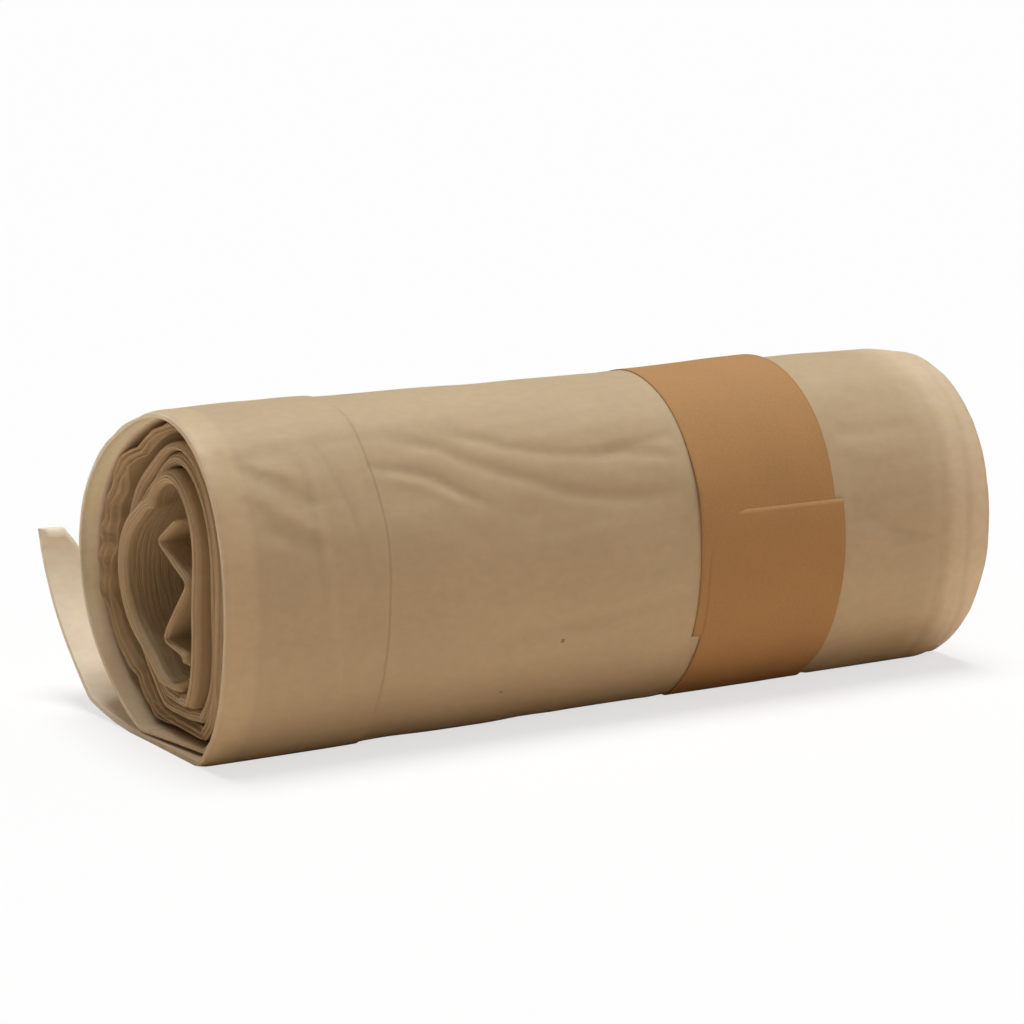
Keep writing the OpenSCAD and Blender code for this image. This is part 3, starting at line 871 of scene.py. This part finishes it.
def between(add, link, value, low, high, out_low, out_high, smooth=False):
    """A value changed from one range to another, and kept inside it."""
    node = add("ShaderNodeMapRange")
    if smooth:
        node.interpolation_type = "SMOOTHSTEP"
    for name, v in (("From Min", low), ("From Max", high), ("To Min", out_low), ("To Max", out_high)):
        node.inputs[name].default_value = v
    link(value, node.inputs["Value"])
    return node.outputs["Result"]


def scaled(add, link, colour, value):
    """A colour made darker or lighter."""
    node = add("ShaderNodeVectorMath")
    node.operation = "SCALE"
    link(colour, node.inputs[0])
    link(value, node.inputs["Scale"])
    return node.outputs["Vector"]


def math_of(add, link, operation, a, b=None):
    """One sum; each side is a socket or a plain number."""
    node = add("ShaderNodeMath")
    node.operation = operation
    for socket, value in ((node.inputs[0], a), (node.inputs[1], b)):
        if isinstance(value, (int, float)):
            socket.default_value = value
        elif value is not None:
            link(value, socket)
    return node.outputs[0]


def mix_colour(add, link, mask, low, high):
    """Low where the mask is 0, high where it is 1; each is a socket or a plain colour."""
    node = add("ShaderNodeMix")
    node.data_type = "RGBA"
    for socket, value in ((node.inputs[6], low), (node.inputs[7], high)):
        if isinstance(value, tuple):
            socket.default_value = (*value, 1)
        else:
            link(value, socket)
    link(mask, node.inputs[0])
    return node.outputs[2]


def stretched(add, link, scale, size, detail):
    """Noise on Object coordinates that are stretched, so its grains are streaks."""
    where, stretch, noise = add("ShaderNodeTexCoord"), add("ShaderNodeMapping"), add("ShaderNodeTexNoise")
    stretch.inputs["Scale"].default_value = scale
    noise.inputs["Scale"].default_value = size
    noise.inputs["Detail"].default_value = detail
    link(where.outputs["Object"], stretch.inputs["Vector"])
    link(stretch.outputs["Vector"], noise.inputs["Vector"])
    return noise.outputs["Fac"]


def masked_bump(add, link, height, distance, mask, under=None):
    """Bump that works where the mask does, on top of the normal given."""
    bump = add("ShaderNodeBump")
    bump.inputs["Distance"].default_value = distance
    link(height, bump.inputs["Height"])
    if mask is None:
        bump.inputs["Strength"].default_value = 1
    else:
        link(mask, bump.inputs["Strength"])
    if under is not None:
        link(under, bump.inputs["Normal"])
    return bump.outputs["Normal"]


def kept(add, name):
    """What the mesh keeps under this name at each point."""
    node = add("ShaderNodeAttribute")
    node.attribute_name = name
    return node.outputs["Fac"]


# %% Film
FILM = (0.575, 0.45, 0.285)
# a painted glow: a paler colour that stands in for light shining through the film at the lip, the loose end
# and the right rim
FILM_PAINTED_GLOW = (0.93, 0.84, 0.68)
# painted shade: a darker film colour for the inner turns and the lip's recessed inner face, deep in the
# roll's ends
FILM_IN_PAINTED_SHADE = (0.50, 0.368, 0.215)
# distance from the left end, angle and radius
SPECKS = [(65.2, 202.0, 0.42), (55.2, 219.6, 0.32)]


def on_film(x_from_left, angle):
    """A point on the outside of the outermost turn, in metres."""
    w = angle - FIRST_ANGLE + 360 * TURNS
    q = (inner_q(w) + film_t(w)) * girth(LEFT + x_from_left)
    y, z = section(q, angle, LEFT + x_from_left, 0)
    return Vector((LEFT + x_from_left, float(y), float(z))) * MM


def film_finish():
    """Waxy film: drifting colour, streaks, a dark seam line, two specks and a soft shine, with painted
    shade, painted highlights and a painted glow.
    """
    finish, shader, add, link = new_finish("waxy_film")
    thin, inside, hollow = kept(add, "thin"), kept(add, "inside"), kept(add, "hollow")
    gap = math_of(add, link, "ABSOLUTE", kept(add, "line_gap"))
    near = between(add, link, gap, 0.05, 0.45, 1, 0, True)
    line = math_of(add, link, "MULTIPLY", near, kept(add, "line_depth"))
    colour, patches = drift(add, link, (1, 1, 1), 55, 0.10)
    # painted shade: the inner turns and the lip's recessed face get the darker colour
    body = mix_colour(add, link, inside, FILM, FILM_IN_PAINTED_SHADE)
    # painted glow: where the mesh keeps a share of it, the colour turns paler, as if lit through the film
    body = mix_colour(add, link, thin, body, FILM_PAINTED_GLOW)
    tinted = add("ShaderNodeVectorMath")
    tinted.operation = "MULTIPLY"
    link(colour, tinted.inputs[0])
    link(body, tinted.inputs[1])
    # the kept painted shade and painted highlights darken and lighten the colour
    shade = scaled(add, link, tinted.outputs["Vector"], kept(add, "painted_light_and_tone"))
    shade = scaled(add, link, shade, between(add, link, line, 0, 1, 1.0, 0.80))
    mottle = stretched(add, link, (0.7, 1, 1), 700, 3)
    shade = scaled(add, link, shade, between(add, link, mottle, 0.3, 0.7, 0.965, 1.035))
    for x, angle, radius in SPECKS:
        gone = add("ShaderNodeVectorMath")
        gone.operation = "DISTANCE"
        gone.inputs[1].default_value = on_film(x, angle)
        link(add("ShaderNodeTexCoord").outputs["Object"], gone.inputs[0])
        rim = radius * MM
        speck = between(add, link, gone.outputs["Value"], rim * 0.6, rim * 1.2, 0.45, 1)
        shade = scaled(add, link, shade, speck)
    link(shade, shader.inputs["Base Color"])
    link(between(add, link, patches, 0, 1, 0.40, 0.60), shader.inputs["Roughness"])
    along_web = stretched(add, link, (0.2, 1, 1), 260, 5)
    round_web = stretched(add, link, (1, 0.09, 0.09), 1500, 4)
    normal = masked_bump(add, link, along_web, 0.00012, None)
    normal = masked_bump(add, link, round_web, 0.00024, hollow, normal)
    link(normal, shader.inputs["Normal"])
    shader.inputs["Subsurface Weight"].default_value = 0.35
    shader.inputs["Subsurface Radius"].default_value = (0.0012, 0.0008, 0.0005)
    shader.inputs["Subsurface Scale"].default_value = 1.0
    shader.inputs["Specular IOR Level"].default_value = 0.4
    return finish


waxy_film = film_finish()
for piece in (film_core, film_wrap):
    piece.data.materials.append(waxy_film)
print(waxy_film.name, "has", len(waxy_film.node_tree.nodes), "nodes")


# %% Kraft paper
def kraft_finish():
    """Kraft paper: matt brown with patches and short fibres."""
    finish, shader, add, link = new_finish("kraft_paper")
    colour, patches = drift(add, link, (0.475, 0.262, 0.102), 90, 0.14)
    where = add("ShaderNodeTexCoord")
    fibre = add("ShaderNodeTexNoise")
    fibre.inputs["Scale"].default_value = 2400
    fibre.inputs["Detail"].default_value = 3
    link(where.outputs["Object"], fibre.inputs["Vector"])
    fleck = between(add, link, fibre.outputs["Fac"], 0.3, 0.7, 0.95, 1.05)
    link(scaled(add, link, colour, fleck), shader.inputs["Base Color"])
    link(between(add, link, patches, 0, 1, 0.72, 0.9), shader.inputs["Roughness"])
    bump = add("ShaderNodeBump")
    bump.inputs["Strength"].default_value = 0.2
    bump.inputs["Distance"].default_value = 0.0002
    link(fibre.outputs["Fac"], bump.inputs["Height"])
    link(bump.outputs["Normal"], shader.inputs["Normal"])
    return finish


kraft_band.data.materials.append(kraft_finish())
print(kraft_band.name, "is", kraft_band.data.materials[0].name)

# %% [markdown]
# ## Table, light and camera
# The roll lies on a pale table under one wide soft lamp, with a weak fill from the front. The
# background is white because the table and the world answer camera rays with white, not
# because more light falls on the roll.

# %% The table
FLOOR_HALF = 30.0


def floor_finish():
    """A pale table that the camera sees as white."""
    finish, shader, add, link = new_finish("pale_floor")
    shader.inputs["Base Color"].default_value = (0.84, 0.72, 0.60, 1)
    shader.inputs["Roughness"].default_value = 0.9
    shader.inputs["Specular IOR Level"].default_value = 0.0
    white = add("ShaderNodeBsdfDiffuse")
    white.inputs["Color"].default_value = (0.94, 0.97, 1.0, 1)
    glow = add("ShaderNodeEmission")
    glow.inputs["Strength"].default_value = 1.0
    pale = add("ShaderNodeMixShader")
    pale.inputs["Fac"].default_value = 0.68
    link(white.outputs["BSDF"], pale.inputs[1])
    link(glow.outputs["Emission"], pale.inputs[2])
    rays, pick = add("ShaderNodeLightPath"), add("ShaderNodeMixShader")
    link(rays.outputs["Is Camera Ray"], pick.inputs["Fac"])
    link(shader.outputs["BSDF"], pick.inputs[1])
    link(pale.outputs["Shader"], pick.inputs[2])
    link(pick.outputs["Shader"], finish.node_tree.nodes["Material Output"].inputs["Surface"])
    return finish


bm = bmesh.new()
bmesh.ops.create_grid(bm, x_segments=1, y_segments=1, size=FLOOR_HALF)
floor_mesh = bpy.data.meshes.new("table_top")
bm.to_mesh(floor_mesh)
bm.free()
floor_mesh.materials.append(floor_finish())
floor = bpy.data.objects.new("table_top", floor_mesh)
bpy.context.scene.collection.objects.link(floor)
print(floor.name, "is", 2 * FLOOR_HALF, "m wide")

# %% The light
def soft_sun(name, towards, spread, strength, colour):
    """A wide, even light that comes from that direction."""
    lamp = bpy.data.lights.new(name, "SUN")
    lamp.angle = math.radians(spread)
    lamp.energy = strength
    lamp.color = colour
    obj = bpy.data.objects.new(name, lamp)
    bpy.context.scene.collection.objects.link(obj)
    obj.rotation_euler = Vector(towards).to_track_quat("Z", "Y").to_euler()
    return obj


soft_sun("softbox_above", (0.03, 0.09, 1.0), 28, 2.63, (1.0, 0.985, 0.97))


def area_lamp(name, at, aim, size, power, colour):
    """A square lamp at one place, turned towards another."""
    lamp = bpy.data.lights.new(name, "AREA")
    lamp.size = size
    lamp.energy = power
    lamp.color = colour
    obj = bpy.data.objects.new(name, lamp)
    bpy.context.scene.collection.objects.link(obj)
    obj.location = at
    obj.rotation_euler = (Vector(at) - Vector(aim)).to_track_quat("Z", "Y").to_euler()
    return obj


area_lamp("fill_front_right", (0.38, -0.24, 0.05), (0.06, 0, 0.03), 0.25, 0.13, (1.0, 0.80, 0.66))

world = bpy.data.worlds.new("studio")
bpy.context.scene.world = world
world.use_nodes = True
sky = world.node_tree.nodes["Background"]
seen = world.node_tree.nodes.new("ShaderNodeBackground")
seen.inputs["Color"].default_value = (1, 1, 1, 1)
sky.inputs["Color"].default_value = (1, 0.89, 0.80, 1)
sky.inputs["Strength"].default_value = 0.19
rays = world.node_tree.nodes.new("ShaderNodeLightPath")
pick = world.node_tree.nodes.new("ShaderNodeMixShader")
world.node_tree.links.new(rays.outputs["Is Camera Ray"], pick.inputs["Fac"])
world.node_tree.links.new(sky.outputs["Background"], pick.inputs[1])
world.node_tree.links.new(seen.outputs["Background"], pick.inputs[2])
world.node_tree.links.new(pick.outputs["Shader"], world.node_tree.nodes["World Output"].inputs["Surface"])
print("lamps", [lamp.name for lamp in bpy.data.lights])

# %% The camera
VIEW_TURN, VIEW_RISE = math.radians(-31.6837), math.radians(10.3643)
VIEW_FAR, VIEW_RIGHT, VIEW_UP = 0.5639725, -0.0068122, 0.0322109
FOCAL_PX, IMAGE_PX = 3071, 1024

back = Vector((math.sin(VIEW_TURN) * math.cos(VIEW_RISE), -math.cos(VIEW_TURN) * math.cos(VIEW_RISE),
               math.sin(VIEW_RISE)))
right = Vector((math.cos(VIEW_TURN), math.sin(VIEW_TURN), 0))
up = back.cross(right)
lens = bpy.data.cameras.new("photo_view")
lens.sensor_width = 36
lens.lens = FOCAL_PX / IMAGE_PX * lens.sensor_width
camera = bpy.data.objects.new("photo_view", lens)
bpy.context.scene.collection.objects.link(camera)
turn = Matrix((right, up, back)).transposed().to_4x4()
camera.matrix_world = Matrix.Translation(back * VIEW_FAR + right * VIEW_RIGHT + up * VIEW_UP) @ turn
bpy.context.scene.camera = camera
bpy.context.scene.view_settings.view_transform = "Standard"
print("camera at", [round(v, 3) for v in camera.matrix_world.translation])
